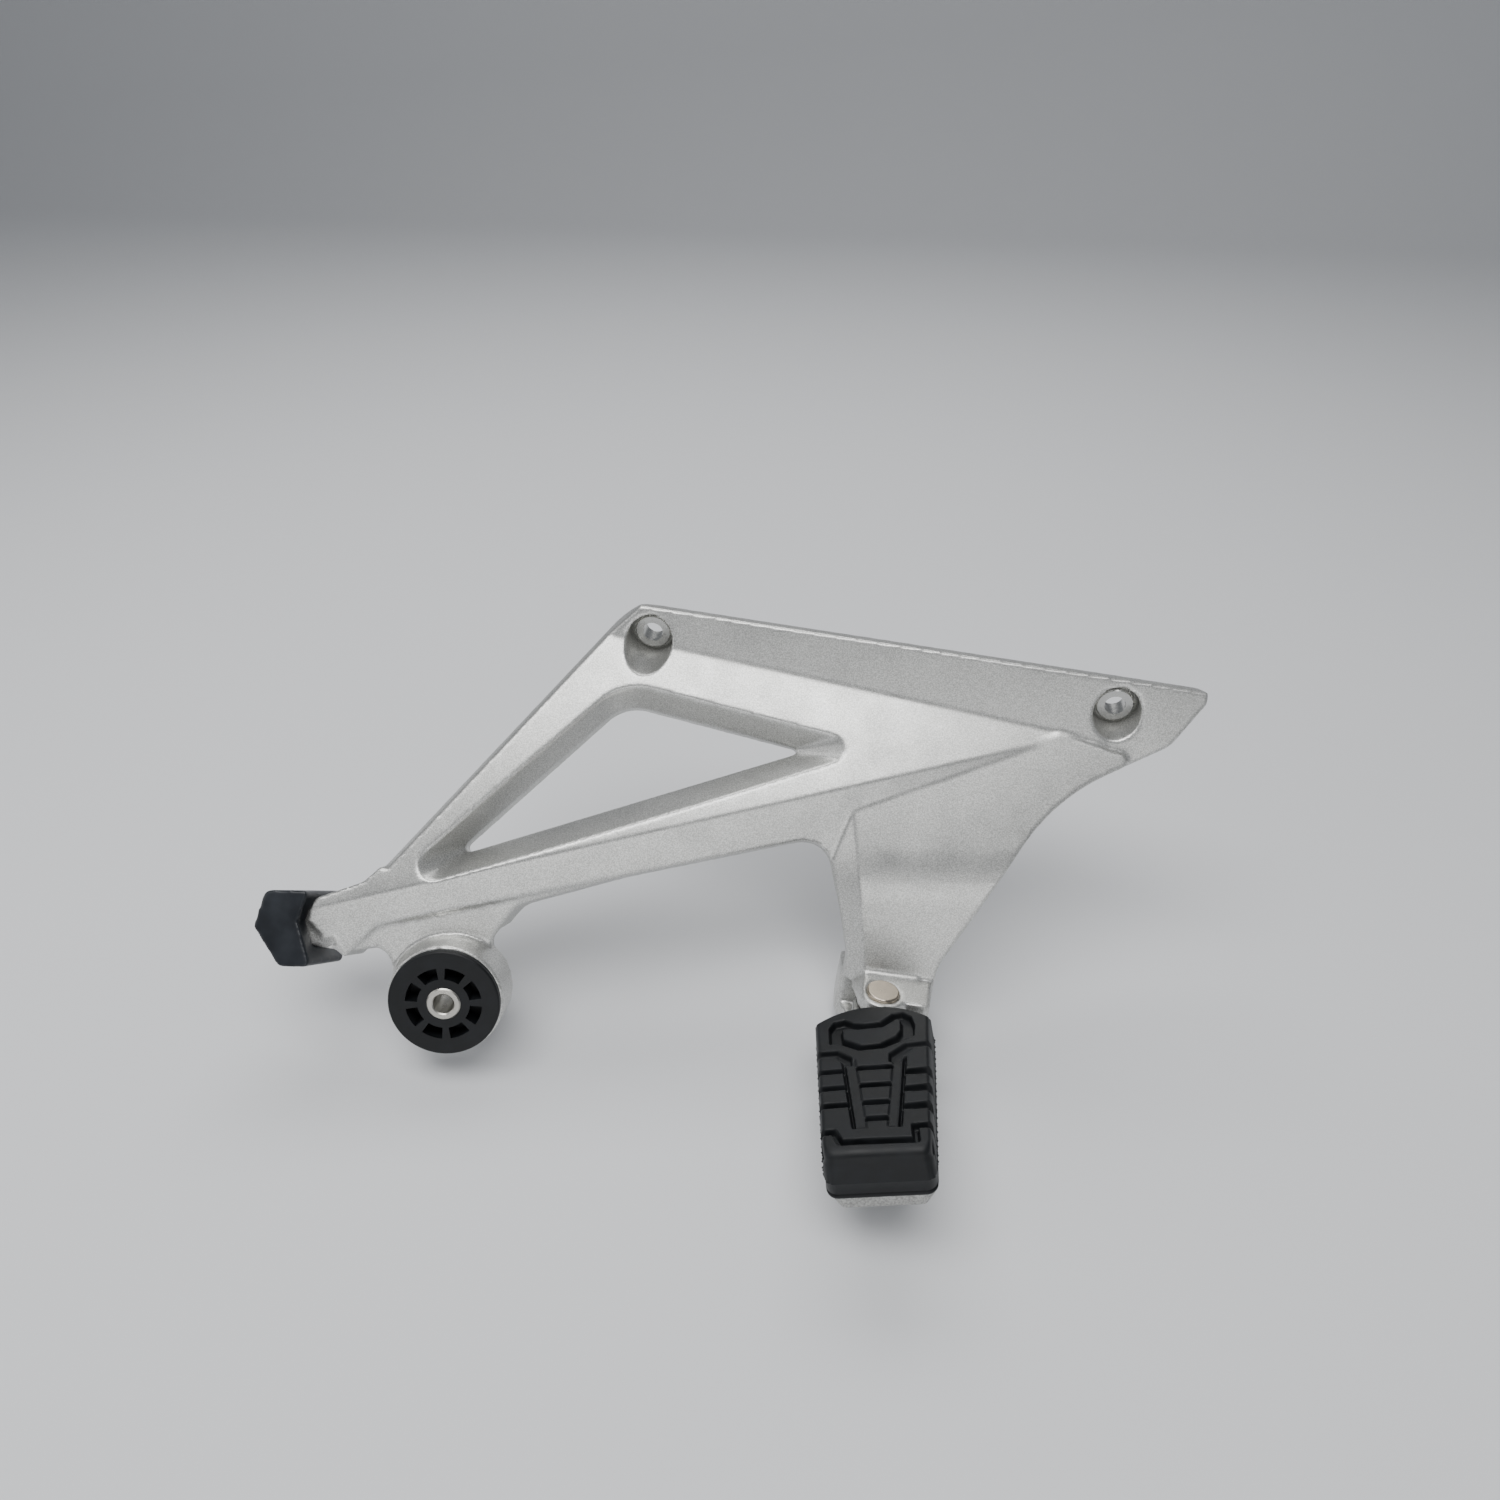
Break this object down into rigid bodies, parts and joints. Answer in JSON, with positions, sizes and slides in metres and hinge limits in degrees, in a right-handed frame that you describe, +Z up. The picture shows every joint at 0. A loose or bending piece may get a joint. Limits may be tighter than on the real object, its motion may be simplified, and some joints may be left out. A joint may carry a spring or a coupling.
{
  "type": "motorcycle passenger foot peg",
  "caption": "Cast hanger bracket with a triangular window, a rubber-bushed rear mount, and a rubber-topped peg that folds back on a clevis pin.",
  "frame": {"origin": "midway between the two frame bolts, in the plane of their seats", "axes": "-Y outboard along the frame bolts, +X towards the front of the motorcycle, +Z up"},
  "size_m": [0.3867, 0.1976, 0.1612],
  "materials": {
    "cast": "silver paint over cast aluminium, fine metallic grain",
    "steel": "zinc-plated steel",
    "pin_steel": "stainless steel, slightly tarnished",
    "raw_alloy": "bare cast aluminium",
    "rubber": "matt black moulded rubber",
    "cap_rubber": "satin black moulded rubber",
    "spring_steel": "spring steel",
    "bronze": "sintered bronze"
  },
  "bodies": {
    "hanger": {"hanger_casting": "cast", "frame_collar_rear": "steel", "frame_collar_front": "steel", "mount_rubber_outer": "rubber", "mount_rubber_inner": "rubber", "mount_sleeve": "steel", "arm_cap": "cap_rubber", "pivot_pin": "pin_steel", "pivot_washer": "steel", "pivot_clip": "spring_steel", "thrust_washer_upper": "bronze", "thrust_washer_lower": "bronze"},
    "peg": {"peg_core": "raw_alloy", "peg_rubber": "rubber", "pad_insert": "steel", "pad_screws": "steel", "tongue_bush": "bronze", "detent_ball": "steel", "detent_spring": "spring_steel", "detent_plug": "steel"}
  },
  "joints": [
    {"name": "peg_fold", "type": "hinge", "parent": "hanger", "child": "peg", "pos_m": [0.012, -0.0945, -0.101], "axis": [-0.0958, -0.207, -0.9736], "range_deg": [0, 65]}
  ]
}
